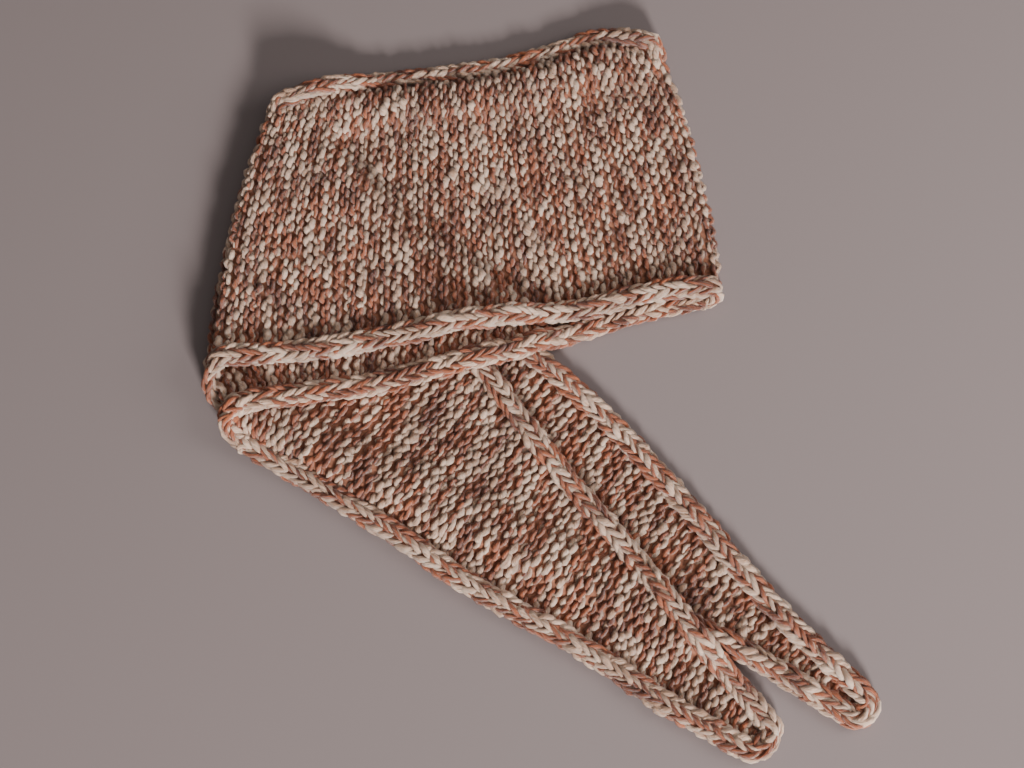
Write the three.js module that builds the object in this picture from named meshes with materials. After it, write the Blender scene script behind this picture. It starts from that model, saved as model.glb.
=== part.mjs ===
// Knit scarf, folded in half and then once more on a slant, lying flat with both ends to one side.
// Garter stitch with a knitted-on round cord along both long edges. Millimetres, +Z up, and the origin
// is on the surface under the middle of the folded scarf. +X runs along the folded block to the
// double fold, +Y across it, away from the ends.
//
// The strip is followed from the right fold outwards twice: front panel, left outer fold, back tail, and
// back panel, left inner fold, front tail. A ridge number counts garter ridges along each stretch.
import * as THREE from 'three';

// Driving dimensions
const fabric = 5.0;          // fabric thickness between the ridges
const ridgeRise = 1.2;       // a garter ridge above the valley beside it
const cordWidth = 12.4;      // edge cord, across
const cordHeight = 9.6;      // edge cord, up
const clearance = 0.3;       // between pieces that touch
const slack = 1.3;           // under what is draped over something uneven
const cordRoom = 0.7;        // over a cord that lies under another layer
const layerStep = fabric + ridgeRise + clearance;
const cordStep = cordHeight + cordRoom;

// How the fabric drapes over an edge that lies under it, measured from that edge cord's middle
const drapeOut = 24;         // outside the edge, where it meets the surface again
const drapeTop = 6;          // level top over the cord
const drapeIn = 20;          // inside the edge, where it lies on fabric again
const crestFelt = 0.15;      // how much of a hidden cord shows through the front panel's middle
const crestFade = 45;        // and how far from its lower edge that is reached

// Folds
const leftFoldReach = 60;    // how far from the left fold the layers keep their full height
const rightFoldReach = 45;   // the same at the right fold
const leftSlip = { lower: 22, upper: 25 };   // how far the edges slip along the left fold going round it
const rightSlip = { lower: 7, upper: 20 };  // the same at the right fold
// How far the cords swing out round the folds
const turnBulge = { right: 6.5, left: 10, inner: 9 };
const backInset = 24;        // upper edge of the back layer, inside the front panel's upper edge
const tuck = 5;              // how far above the front panel's lower cord the back panel and the tails end
// How far the hidden layers stay inside the front panel's upper edge, with what is added at the folds
const hiddenInset = { middle: 18, left: 20, right: 14 };

// Where the rings of the front panel have their points, from its lower edge, 0, to its upper edge, 1
const frontColumns = [0, 0.14, 0.3, 0.46, 0.62, 0.78, 0.9, 1];

// The table zero, measured from the origin
const zeroX = -11.6;
const zeroY = -9.1;

// Cord middles along both edges, and how far the ridge between them bows to the left
const frontRows = [
  { ridge: 0, lowerX: 133, lowerY: 68.5, upperX: 96, upperY: 244, bow: -6 },
  { ridge: 6, lowerX: 90, lowerY: 63.5, upperX: 60, upperY: 249, bow: -3 },
  { ridge: 12, lowerX: 45, lowerY: 51.5, upperX: 24, upperY: 237, bow: 0 },
  { ridge: 18, lowerX: -1, lowerY: 45, upperX: -12, upperY: 227, bow: 0 },
  { ridge: 24, lowerX: -46, lowerY: 35, upperX: -49, upperY: 221, bow: 0 },
  { ridge: 30, lowerX: -92, lowerY: 24.5, upperX: -86, upperY: 216.5, bow: 2 },
  { ridge: 36, lowerX: -138, lowerY: 16.5, upperX: -121, upperY: 208, bow: 4 },
  { ridge: 42, lowerX: -184, lowerY: 12.5, upperX: -153, upperY: 192, bow: 6 },
];
// The back panel shows only along its lower edge
const backRows = [
  { ridge: 0, lowerX: 131, lowerY: 55.5 },
  { ridge: 6, lowerX: 87, lowerY: 46 },
  { ridge: 12, lowerX: 42, lowerY: 31.5 },
  { ridge: 18, lowerX: -4, lowerY: 17 },
  { ridge: 24, lowerX: -50, lowerY: 6 },
  { ridge: 30, lowerX: -94, lowerY: -5.5 },
  { ridge: 36, lowerX: -136, lowerY: -11 },
  { ridge: 42, lowerX: -170, lowerY: -17 },
];
const tailFrontRows = [
  { ridge: 0, lowerX: -170, lowerY: -41, upperX: -152, upperY: 190, bow: 0 },
  { ridge: 7, lowerX: -139, lowerY: -59, upperX: -49, upperY: 48, bow: 0 },
  { ridge: 16, lowerX: -80, lowerY: -95, upperX: -9.5, upperY: -6.5, bow: 0 },
  { ridge: 26, lowerX: -23, lowerY: -133, upperX: 30, upperY: -61, bow: 0 },
  { ridge: 35, lowerX: 37.5, lowerY: -166.5, upperX: 73, upperY: -113, bow: 0 },
  { ridge: 45, lowerX: 95, lowerY: -204, upperX: 114, upperY: -166, bow: 0 },
  { ridge: 54, lowerX: 142, lowerY: -231, upperX: 156, upperY: -216, bow: 0 },
];
const tailBackRows = [
  { ridge: 0, lowerX: -184, lowerY: -15.5, upperX: -157, upperY: 168, bow: 0 },
  { ridge: 7, lowerX: -140, lowerY: -34, upperX: -46, upperY: 77, bow: 0 },
  { ridge: 18, lowerX: -70, lowerY: -69, upperX: 9, upperY: 23, bow: 0 },
  { ridge: 28, lowerX: 0, lowerY: -103, upperX: 64, upperY: -29, bow: 0 },
  { ridge: 39, lowerX: 70, lowerY: -137, upperX: 114, upperY: -87, bow: 0 },
  { ridge: 49, lowerX: 139, lowerY: -170, upperX: 162.5, upperY: -146, bow: 0 },
  { ridge: 60, lowerX: 206, lowerY: -211, upperX: 216, upperY: -201, bow: 0 },
];

const colours = { fabric: '#b0866c', shaded: '#96705a', cord: '#c39a80' };

function smooth(x) {
  const t = Math.min(Math.max(x, 0), 1);
  return t * t * (3 - 2 * t);
}

function mix(a, b, t) {
  return a + (b - a) * t;
}

// One column of a table at any ridge number, as a smooth curve through its rows
function columnAt(rows, column, ridge) {
  let i = 0;
  while (i < rows.length - 2 && ridge > rows[i + 1].ridge) i += 1;
  const slopeAt = (k) => {
    const before = rows[Math.max(k - 1, 0)];
    const after = rows[Math.min(k + 1, rows.length - 1)];
    return (after[column] - before[column]) / (after.ridge - before.ridge);
  };
  const span = rows[i + 1].ridge - rows[i].ridge;
  const t = (ridge - rows[i].ridge) / span;
  const a = rows[i][column];
  const b = rows[i + 1][column];
  const curved = (2 * t ** 3 - 3 * t ** 2 + 1) * a + (t ** 3 - 2 * t ** 2 + t) * span * slopeAt(i)
    + (3 * t ** 2 - 2 * t ** 3) * b + (t ** 3 - t ** 2) * span * slopeAt(i + 1);
  if (t < 0) return a + t * span * slopeAt(i);
  if (t > 1) return b + (t - 1) * span * slopeAt(i + 1);
  return curved;
}

function edgeAt(rows, side, ridge) {
  return new THREE.Vector2(columnAt(rows, side + 'X', ridge), columnAt(rows, side + 'Y', ridge));
}

// A point on the ridge from the lower edge, across = 0, to the upper edge, across = 1
function ridgePoint(rows, ridge, across) {
  const lower = edgeAt(rows, 'lower', ridge);
  const upper = edgeAt(rows, 'upper', ridge);
  const point = lower.clone().lerp(upper, across);
  const bow = columnAt(rows, 'bow', ridge) * 4 * across * (1 - across);
  const along = upper.sub(lower).normalize();
  return point.add(new THREE.Vector2(-along.y, along.x).multiplyScalar(bow));
}

// An edge as a line with a point at each ridge
function edgeLine(rows, side, first, last) {
  const points = [];
  for (let ridge = first; ridge <= last; ridge += 1) points.push(edgeAt(rows, side, ridge));
  return points;
}

// How far a point lies from a line, which is carried on past its ends: above zero on the line's left
function sideOf(line, point) {
  let best = Infinity;
  let sign = 1;
  for (let i = 0; i < line.length - 1; i += 1) {
    const step = line[i + 1].clone().sub(line[i]);
    const away = point.clone().sub(line[i]);
    const t = away.dot(step) / step.lengthSq();
    const carriedOn = (i === 0 && t < 0) || (i === line.length - 2 && t > 1);
    const nearest = carriedOn ? t : Math.min(Math.max(t, 0), 1);
    const gap = away.clone().addScaledVector(step, -nearest).length();
    if (gap < best) {
      best = gap;
      sign = Math.sign(step.x * away.y - step.y * away.x) || 1;
    }
  }
  return best * sign;
}

const frontLower = edgeLine(frontRows, 'lower', 0, 42);
const frontUpper = edgeLine(frontRows, 'upper', 0, 42);
const tailFrontUpper = edgeLine(tailFrontRows, 'upper', 0, 54);
const tailBackUpper = edgeLine(tailBackRows, 'upper', 0, 60);
const tailBackLower = edgeLine(tailBackRows, 'lower', 0, 60);
const rightFold = [0, 0.25, 0.5, 0.75, 1].map((across) => ridgePoint(frontRows, 0, across));
const leftFold = [0, 0.25, 0.5, 0.75, 1].map((across) => ridgePoint(frontRows, 42, across));

// Height of the underside of what lies over an edge: inside is the distance inside that edge, and crest
// is how much of the cord's extra height is felt
function overEdge(inside, crest = 1) {
  const top = mix(layerStep, cordStep, crest);
  if (inside < 0) return top * smooth((inside + drapeOut) / (drapeOut - drapeTop));
  return mix(top, layerStep, smooth((inside - drapeTop) / (drapeIn - drapeTop)));
}

// Undersides of the layers, from the bottom up
function underTailFront(point) {
  return overEdge(sideOf(tailBackLower, point));
}

function underBack(point, crest = 1) {
  const overBackTail = overEdge(-sideOf(tailBackUpper, point), crest);
  const overFrontTail = overEdge(-sideOf(tailFrontUpper, point), crest);
  return overBackTail + overFrontTail + underTailFront(point) - layerStep;
}

function underFront(point) {
  const crest = mix(1, crestFelt, smooth(-sideOf(frontLower, point) / crestFade));
  const free = underBack(point, crest) + overEdge(sideOf(frontUpper, point) - backInset);
  const leftHold = 1 - smooth(Math.abs(sideOf(leftFold, point)) / leftFoldReach);
  const rightHold = 1 - smooth(Math.abs(sideOf(rightFold, point)) / rightFoldReach);
  return mix(mix(free, 3 * layerStep, leftHold), layerStep, rightHold);
}

const onSurface = () => 0;

// A closed solid through rings that all have the same number of points
function loft(rings) {
  const size = rings[0].length;
  const points = rings.flat();
  const faces = [];
  for (let i = 0; i < rings.length - 1; i += 1) {
    for (let j = 0; j < size; j += 1) {
      const a = i * size + j;
      const b = i * size + ((j + 1) % size);
      faces.push([a, b, b + size], [a, b + size, a + size]);
    }
  }
  faces.push(...capFaces(rings[0], 0, true));
  faces.push(...capFaces(rings[rings.length - 1], (rings.length - 1) * size, false));
  const corners = faces.flatMap((face) => face.map((k) => points[k]));
  let volume = 0;
  for (let k = 0; k < corners.length; k += 3) {
    volume += corners[k].dot(corners[k + 1].clone().cross(corners[k + 2]));
  }
  const outward = volume > 0 ? faces : faces.map(([a, b, c]) => [a, c, b]);
  const geometry = new THREE.BufferGeometry().setFromPoints(points);
  geometry.setIndex(outward.flat());
  geometry.computeVertexNormals();
  return geometry;
}

// The end of a loft: a ladder of triangles from the ring's first and last points to its middle
function capFaces(ring, offset, atStart) {
  const faces = [];
  let low = 0;
  let high = ring.length - 1;
  while (high - low > 1) {
    const stepLow = ring[low + 1].distanceTo(ring[high]) < ring[high - 1].distanceTo(ring[low]);
    const face = stepLow ? [low, low + 1, high] : [low, high - 1, high];
    faces.push(face.map((k) => k + offset));
    if (stepLow) low += 1;
    else high -= 1;
  }
  return atStart ? faces.map(([p, q, r]) => [p, r, q]) : faces;
}

// One ring of a wall: outer points in order, then inner points back again
function wallRing(outer, inner) {
  return [...outer, ...inner.reverse()];
}

// How far along the ridge the fabric starts, to stay clear of the cord on that edge
function insetAlong(rows, side, ridge) {
  const length = edgeAt(rows, 'upper', ridge).sub(edgeAt(rows, 'lower', ridge));
  const edge = edgeAt(rows, side, ridge + 0.5).sub(edgeAt(rows, side, ridge - 0.5));
  const sine = Math.abs(length.clone().normalize().cross(edge.normalize()));
  return (cordWidth / 2 + clearance) / sine / length.length();
}

// The place along a ridge, by halving, where it has reached a distance beyond a line: side is 1 on the
// line's left, and -1 on its right
function reachAlong(rows, ridge, line, distance, side = -1) {
  const halvings = 24;
  const beyond = (across) => side * sideOf(line, ridgePoint(rows, ridge, across)) - distance;
  if (beyond(1) < 0) return 1;
  let low = 0;
  let high = 1;
  for (let k = 0; k < halvings; k += 1) {
    const middle = (low + high) / 2;
    if (beyond(middle) < 0) low = middle;
    else high = middle;
  }
  return low;
}

// Crests and valleys of the garter ridges between two ridge numbers
function ridgeSteps(first, last) {
  const steps = [];
  for (let ridge = first; ridge < last; ridge += 0.5) {
    steps.push({ ridge, rise: steps.length % 2 ? ridgeRise : 0 });
  }
  steps.push({ ridge: last, rise: 0 });
  return steps;
}

// A wall that lies on a height, ribbed on top: span gives where each ridge starts and ends
function lyingWall(rows, steps, span, under, columns, plainColumns) {
  return steps.map(({ ridge, rise }) => {
    const [from, to] = span(ridge);
    const place = (across, lift) => {
      const point = ridgePoint(rows, ridge, mix(from, to, across));
      return new THREE.Vector3(point.x, point.y, under(point) + lift);
    };
    return wallRing(
      columns.map((across) => place(across, fabric + rise)),
      plainColumns.map((across) => place(across, 0)),
    );
  });
}

// Where the front panel starts and ends along a ridge: its upper cord bends sideways, so it keeps further off
function frontSpan(ridge) {
  const spare = 0.004;
  return [insetAlong(frontRows, 'lower', ridge), 1 - insetAlong(frontRows, 'upper', ridge) - spare];
}

// The directions along a fold, to its upper end, and out of it
function foldDirections(ridge) {
  const along = edgeAt(frontRows, 'upper', ridge).sub(edgeAt(frontRows, 'lower', ridge)).normalize();
  return { along, outward: new THREE.Vector2(-along.y, along.x).multiplyScalar(ridge === 0 ? -1 : 1) };
}

// The front panel round a fold from the top, angle 0, to the bottom, angle PI
function foldRing(ridge, topHeight, slip, angle, rise) {
  const { along, outward } = foldDirections(ridge);
  const turned = (1 - Math.cos(angle)) / 2;
  const [from, to] = frontSpan(ridge);
  const place = (across, lift) => {
    const base = ridgePoint(frontRows, ridge, mix(from, to, across));
    base.addScaledVector(along, -turned * mix(slip.lower, slip.upper, across));
    const radius = topHeight / 2 - fabric / 2 + lift;
    base.addScaledVector(outward, radius * Math.sin(angle));
    return new THREE.Vector3(base.x, base.y, (topHeight + fabric) / 2 + radius * Math.cos(angle));
  };
  return wallRing(
    frontColumns.map((across) => place(across, fabric + rise)),
    frontColumns.map((across) => place(across, 0)),
  );
}

function frontPanel() {
  const rightSteps = 6;
  const leftSteps = 10;
  const leftRibbed = 7;
  const rings = [];
  for (let k = rightSteps; k > 0; k -= 1) {
    rings.push(foldRing(0, layerStep, rightSlip, (k / rightSteps) * Math.PI, 0));
  }
  rings.push(...lyingWall(frontRows, ridgeSteps(0, 42), frontSpan, underFront, frontColumns, frontColumns));
  for (let k = 1; k <= leftSteps; k += 1) {
    const rise = k % 2 && k <= leftRibbed ? ridgeRise : 0;
    rings.push(foldRing(42, 3 * layerStep, leftSlip, (k / leftSteps) * Math.PI, rise));
  }
  return loft(rings);
}

// Ridges of the back panel run from its lower edge to just above the front panel's lower cord
const backSpanRows = backRows.map((row) => {
  const top = edgeAt(frontRows, 'lower', row.ridge);
  return { ...row, upperX: top.x, upperY: top.y, bow: 0 };
});

function backPanel() {
  const columns = [0, 0.5, 1];
  const firstRidge = 1.2;
  const lastRidge = 42;
  const noseSteps = 4;
  const noseAngle = 0.47 * Math.PI;
  const span = (ridge) => {
    const length = edgeAt(backSpanRows, 'upper', ridge).distanceTo(edgeAt(backSpanRows, 'lower', ridge));
    return [insetAlong(backSpanRows, 'lower', ridge), 1 + (tuck - clearance) / length];
  };
  const rings = lyingWall(backSpanRows, ridgeSteps(firstRidge, lastRidge), span, underBack, columns, columns);
  for (let k = 1; k <= noseSteps; k += 1) {
    const angle = (k / noseSteps) * noseAngle;
    const [from, to] = span(lastRidge);
    const place = (across, side) => {
      const point = ridgePoint(backSpanRows, lastRidge, mix(from, to, across));
      const top = underBack(point) + fabric;
      const bottom = underBack(point) - layerStep + clearance;
      const half = (top - bottom) / 2;
      const z = (top + bottom) / 2 + side * half * Math.cos(angle);
      return new THREE.Vector3(point.x - half * Math.sin(angle), point.y, z);
    };
    rings.push(wallRing(columns.map((a) => place(a, 1)), columns.map((a) => place(a, -1))));
  }
  return loft(rings);
}

// The front panel's own underside, as its columns make it
function frontUnderside(ridge, across) {
  const [from, to] = frontSpan(ridge);
  const part = Math.min(Math.max((across - from) / (to - from), 0), 1);
  const k = Math.max(frontColumns.findIndex((column) => column >= part) - 1, 0);
  const heightAt = (column) => underFront(ridgePoint(frontRows, ridge, mix(from, to, column)));
  const between = (part - frontColumns[k]) / (frontColumns[k + 1] - frontColumns[k]);
  return mix(heightAt(frontColumns[k]), heightAt(frontColumns[k + 1]), between);
}

// The hidden layers as one solid, grooved between the layers along its sides
function hiddenLayers() {
  const sidePoints = 8;
  const grooveDepth = 1.5;
  const stations = 28;
  const first = 0.8;
  const last = 41.3;
  const noseRadius = layerStep;
  const noseTurns = [0, 0.35, 0.65, 0.9];
  const nearRidges = [-0.9, 0, 0.9];
  const noseMiddle = (3 * layerStep + fabric) / 2;
  const fullHeight = 3 * layerStep - clearance - slack;

  const ringAt = (ridge, shapeZ, push) => {
    const lower = edgeAt(frontRows, 'lower', ridge);
    const upper = edgeAt(frontRows, 'upper', ridge);
    const length = upper.distanceTo(lower);
    const along = upper.clone().sub(lower).normalize();
    const outward = new THREE.Vector2(-along.y, along.x);
    const nearLeft = smooth((ridge - 30) / 12);
    const nearRight = 1 - smooth(ridge / 7);
    const kept = hiddenInset.middle + hiddenInset.left * nearLeft + hiddenInset.right * nearRight;
    const from = (tuck + clearance) / length;
    const to = 1 - kept / length;
    const at = (across, lift) => {
      const point = ridgePoint(frontRows, ridge, across).addScaledVector(outward, push);
      return new THREE.Vector3(point.x, point.y, shapeZ(lift));
    };
    const nearby = nearRidges.map((step) => Math.min(Math.max(ridge + step, 0), 42));
    const lowestOver = (across) => Math.min(...nearby.map((near) => frontUnderside(near, across)));
    const topAt = (across) => lowestOver(across) - clearance - slack;
    const [frontFrom, frontTo] = frontSpan(ridge);
    const inner = frontColumns.slice(1, -2).map((column) => mix(frontFrom, frontTo, column));
    const top = [from, ...inner, to].map((across) => at(across, topAt(across)));
    const sideAt = (across, outwards, part) => {
      const z = topAt(across) * part;
      const groove = grooveDepth * (1 - Math.abs(Math.sin((Math.PI * z) / layerStep)));
      return at(across - (outwards * groove) / length, z);
    };
    const down = [];
    for (let k = 1; k <= sidePoints; k += 1) down.push(1 - k / sidePoints);
    const farSide = down.map((part) => sideAt(to, 1, part));
    const nearSide = down.map((part) => sideAt(from, -1, part)).reverse();
    return [...top, ...farSide, ...nearSide];
  };

  const rings = [];
  for (let k = 0; k <= stations; k += 1) {
    rings.push(ringAt(mix(first, last, k / stations), (z) => z, 0));
  }
  for (const turn of noseTurns) {
    const angle = turn * (Math.PI / 2);
    const radius = noseRadius * Math.cos(angle);
    const shapeZ = (z) => noseMiddle + (z / fullHeight - 0.5) * 2 * radius;
    rings.push(ringAt(last + 0.05, shapeZ, noseRadius * Math.sin(angle)));
  }
  return loft(rings);
}

// The tails end under the back panel, and their fabric at the last ridge that is wide enough for one
function tailSpan(rows, ridge) {
  const covered = reachAlong(rows, ridge, frontLower, tuck - clearance);
  return [insetAlong(rows, 'lower', ridge), Math.min(covered, 1 - insetAlong(rows, 'upper', ridge))];
}

function tailBack() {
  const span = (ridge) => tailSpan(tailBackRows, ridge);
  const rings = lyingWall(tailBackRows, ridgeSteps(0.4, 57), span, onSurface, [0, 0.35, 0.7, 1], [0, 0.5, 1]);
  return loft(rings);
}

// The front tail has columns where it climbs over the lower edge of the back tail
function tailFront() {
  const climb = [-14, -6.5, 6.5, 20];
  const least = 0.7;
  const placesAt = (ridge) => {
    const length = edgeAt(tailFrontRows, 'upper', ridge).distanceTo(edgeAt(tailFrontRows, 'lower', ridge));
    const [from, to] = tailSpan(tailFrontRows, ridge).map((part) => part * length);
    const crossing = reachAlong(tailFrontRows, ridge, tailBackLower, 0, 1) * length;
    const last = Math.max(crossing + climb[climb.length - 1], from);
    const places = [from, ...climb.map((step) => crossing + step), mix(last, to, 0.5), to];
    for (let k = 1; k < places.length; k += 1) {
      places[k] = Math.max(places[k], places[k - 1] + least);
    }
    places[places.length - 1] = to;
    for (let k = places.length - 2; k >= 0; k -= 1) {
      places[k] = Math.min(places[k], places[k + 1] - least);
    }
    return places.map((place) => place / length);
  };
  const rings = ridgeSteps(0.7, 54).map(({ ridge, rise }) => {
    const points = placesAt(ridge).map((across) => ridgePoint(tailFrontRows, ridge, across));
    const lifted = (lift) => (point) => new THREE.Vector3(point.x, point.y, underTailFront(point) + lift);
    const plain = points.filter((point, k) => k !== points.length - 2);
    return wallRing(points.map(lifted(fabric + rise)), plain.map(lifted(0)));
  });
  return loft(rings);
}

// An edge cord: a flattened ring with a level underside, swept along its middle points
function cord(stations, roundStart, roundEnd) {
  const sides = 8;
  const corner = 1 / Math.cos(Math.PI / sides);
  const ends = [
    { scale: 0.55, reach: 5 },
    { scale: 0.88, reach: 3 },
  ];
  const ringAt = (middle, tangent, across, scale) => {
    const wide = across.clone().projectOnPlane(tangent).normalize();
    const high = tangent.clone().cross(wide).normalize();
    const ring = [];
    for (let k = 0; k < sides; k += 1) {
      const angle = ((k + 0.5) / sides) * 2 * Math.PI;
      ring.push(middle.clone()
        .addScaledVector(wide, scale * corner * (cordWidth / 2) * Math.cos(angle))
        .addScaledVector(high, scale * corner * (cordHeight / 2) * Math.sin(angle)));
    }
    return ring;
  };
  const rings = [];
  const last = stations.length - 1;
  const tangents = stations.map((s, k) => stations[Math.min(k + 1, last)].middle.clone()
    .sub(stations[Math.max(k - 1, 0)].middle).normalize());
  if (roundStart) {
    for (const { scale, reach } of ends) {
      const middle = stations[0].middle.clone().addScaledVector(tangents[0], -reach);
      middle.z -= (1 - scale) * (cordHeight / 2);
      rings.push(ringAt(middle, tangents[0], stations[0].across, scale));
    }
  }
  stations.forEach((s, k) => rings.push(ringAt(s.middle, tangents[k], s.across, 1)));
  if (roundEnd) {
    for (const { scale, reach } of [...ends].reverse()) {
      const middle = stations[last].middle.clone().addScaledVector(tangents[last], reach);
      middle.z -= (1 - scale) * (cordHeight / 2);
      rings.push(ringAt(middle, tangents[last], stations[last].across, scale));
    }
  }
  return loft(rings);
}

// Middle points of a cord that lies on a height, along one edge
function cordRun(rows, side, first, last, steps, under) {
  const stations = [];
  for (let k = 0; k <= steps; k += 1) {
    const ridge = mix(first, last, k / steps);
    const point = edgeAt(rows, side, ridge);
    const across = edgeAt(rows, side, ridge + 0.5).sub(edgeAt(rows, side, ridge - 0.5));
    stations.push({
      middle: new THREE.Vector3(point.x, point.y, under(point) + cordHeight / 2),
      across: new THREE.Vector3(-across.y, across.x, 0).normalize(),
    });
  }
  return stations;
}

// A cord's turn round a fold, from the end of one run to the start of the next
function cordTurn(before, after, bulge, steps) {
  const start = before[before.length - 1].middle;
  const end = after[0].middle;
  const leaving = start.clone().sub(before[before.length - 2].middle).normalize();
  const arriving = after[1].middle.clone().sub(end).normalize();
  const pull = bulge / 0.75;
  const curve = new THREE.CubicBezierCurve3(
    start,
    start.clone().addScaledVector(leaving, pull),
    end.clone().addScaledVector(arriving, -pull),
    end,
  );
  const across = start.clone().sub(end).setZ(0).normalize();
  across.multiplyScalar(Math.sign(across.dot(before[before.length - 1].across)));
  return curve.getPoints(steps).slice(1).map((middle) => ({ middle, across }));
}

const turnSteps = 9;
const hookSteps = 4;
const overBack = (point) => underFront(point) + slack + clearance;
const overTails = (point) => underBack(point) + slack / 2;
const overTailBack = (point) => underTailFront(point) + clearance / 3;
const justAbove = () => clearance / 2;

function frontCordLower() {
  const run = cordRun(frontRows, 'lower', 0.9, 41.8, 36, overBack);
  const nextRight = cordRun(backRows, 'lower', 0.35, 2, 2, justAbove);
  const nextLeft = cordRun(tailBackRows, 'lower', 0.1, 2, 2, justAbove);
  const right = cordTurn([...run].reverse(), nextRight, turnBulge.right, turnSteps - 2).reverse();
  const left = cordTurn(run, nextLeft, turnBulge.left, turnSteps);
  return cord([...right, ...run, ...left], false, false);
}

// A cord's end that hooks down over a fold
function cordHook(end, foldRidge, { reach, drop, angle }) {
  const { outward } = foldDirections(foldRidge);
  const leaving = new THREE.Vector3(outward.x, outward.y, 0);
  const hook = [];
  for (let k = 1; k <= hookSteps; k += 1) {
    const turned = (angle * k) / hookSteps;
    const middle = end.middle.clone().addScaledVector(leaving, reach * Math.sin(turned));
    middle.z -= drop * (1 - Math.cos(turned));
    hook.push({ middle, across: end.across });
  }
  return hook;
}

function frontCordUpper() {
  const run = cordRun(frontRows, 'upper', 0.2, 41.3, 36, underFront);
  const right = cordHook(run[0], 0, { reach: 8, drop: 4, angle: Math.PI / 3 }).reverse();
  const left = cordHook(run[run.length - 1], 42, { reach: 14, drop: 9.7, angle: Math.PI / 2 });
  return cord([...right, ...run, ...left], true, true);
}

function backCordLower() {
  const run = cordRun(backRows, 'lower', 0.65, 42, 36, overTails);
  const next = cordRun(tailFrontRows, 'lower', 0, 2, 2, underTailFront);
  return cord([...run, ...cordTurn(run, next, turnBulge.inner, turnSteps)], false, false);
}

// The tails' cords: first and last ridge, and the steps between them
const tailCords = [
  { name: 'tail_front_cord_lower', rows: tailFrontRows, side: 'lower', first: 0.3, last: 54, steps: 30 },
  { name: 'tail_front_cord_upper', rows: tailFrontRows, side: 'upper', first: 10, last: 54, steps: 28 },
  { name: 'tail_back_cord_lower', rows: tailBackRows, side: 'lower', first: 0.45, last: 60, steps: 28 },
  { name: 'tail_back_cord_upper', rows: tailBackRows, side: 'upper', first: 14.5, last: 60, steps: 24 },
];

const front = new THREE.MeshStandardMaterial({ color: colours.fabric, roughness: 0.95, metalness: 0 });
const shaded = new THREE.MeshStandardMaterial({ color: colours.shaded, roughness: 0.95, metalness: 0 });
const edging = new THREE.MeshStandardMaterial({ color: colours.cord, roughness: 0.95, metalness: 0 });

const scarf = new THREE.Group();
scarf.position.set(zeroX, zeroY, 0);

function add(name, geometry, material) {
  const mesh = new THREE.Mesh(geometry, material);
  mesh.name = name;
  scarf.add(mesh);
}

add('front_panel', frontPanel(), front);
add('back_panel', backPanel(), shaded);
add('hidden_layers', hiddenLayers(), shaded);
add('tail_front', tailFront(), front);
add('tail_back', tailBack(), front);
add('front_cord_lower', frontCordLower(), edging);
add('front_cord_upper', frontCordUpper(), edging);
add('back_cord_lower', backCordLower(), edging);
for (const { name, rows, side, first, last, steps } of tailCords) {
  const under = rows === tailBackRows ? onSurface : overTailBack;
  add(name, cord(cordRun(rows, side, first, last, steps, under), false, true), edging);
}

export default scarf;
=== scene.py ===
# Knit scarf, folded flat: marled chunky wool in garter stitch, with a knitted cord along both edges
import math
import bpy
import numpy as np
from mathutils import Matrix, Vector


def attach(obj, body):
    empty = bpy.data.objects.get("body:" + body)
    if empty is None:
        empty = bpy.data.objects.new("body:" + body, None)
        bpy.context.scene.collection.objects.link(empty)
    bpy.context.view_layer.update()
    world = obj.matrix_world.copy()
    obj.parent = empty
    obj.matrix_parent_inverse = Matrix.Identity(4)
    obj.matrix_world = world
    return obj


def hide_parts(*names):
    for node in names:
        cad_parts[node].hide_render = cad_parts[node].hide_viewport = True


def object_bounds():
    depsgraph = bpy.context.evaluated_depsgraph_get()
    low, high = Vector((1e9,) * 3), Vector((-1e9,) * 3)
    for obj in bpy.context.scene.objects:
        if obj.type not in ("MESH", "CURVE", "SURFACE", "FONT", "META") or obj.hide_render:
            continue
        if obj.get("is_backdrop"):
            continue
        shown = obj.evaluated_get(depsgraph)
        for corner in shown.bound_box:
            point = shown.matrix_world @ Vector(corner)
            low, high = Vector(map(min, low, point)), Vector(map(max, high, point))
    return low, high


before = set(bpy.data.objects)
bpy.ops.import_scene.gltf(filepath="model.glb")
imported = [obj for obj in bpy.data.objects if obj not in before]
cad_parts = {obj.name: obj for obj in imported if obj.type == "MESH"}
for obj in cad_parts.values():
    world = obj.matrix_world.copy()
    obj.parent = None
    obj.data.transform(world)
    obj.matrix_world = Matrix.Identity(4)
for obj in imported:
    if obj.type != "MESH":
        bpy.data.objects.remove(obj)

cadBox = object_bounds()
mm = 0.001

# The folded scarf, in millimetres, as the frame's solids have it
scarf = {
    "fabric": 5.0,             # fabric thickness between the ridges
    "ridgeRise": 1.2,          # a garter ridge above the valley beside it
    "ridgePitch": 7.25,
    "stitchPitch": 8.4,        # along a ridge
    "cordHeight": 9.6,
    "clearance": 0.3,          # between one layer and the next
    "slack": 1.3,              # a cord's extra height over a layer that it lies on
    "cordRoom": 0.7,           # between one cord and what lies over it
    "drapeOut": 24.0, "drapeTop": 6.0, "drapeIn": 20.0,   # over an edge cord, out of it and into the fabric
    "crestFelt": 0.15, "crestFade": 45.0,
    "backInset": 24.0,         # the second layer's upper edge lies this far inside the first one's
    "tuck": 5.0,               # how far a layer's stitches go on under the layer above
    "zero": (-11.6, -9.1),     # the table zero, from the origin
}
layerStep = scarf["fabric"] + scarf["ridgeRise"] + scarf["clearance"]
cordStep = scarf["cordHeight"] + scarf["cordRoom"]

# Slip is how far the layers shift along a fold, at the lower and the upper edge
rightFold = {"ridge": 0, "layers": 1, "slip": (7.0, 20.0), "reach": 45.0}
leftFold = {"ridge": 42, "layers": 3, "slip": (22.0, 25.0), "reach": 60.0}

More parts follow.
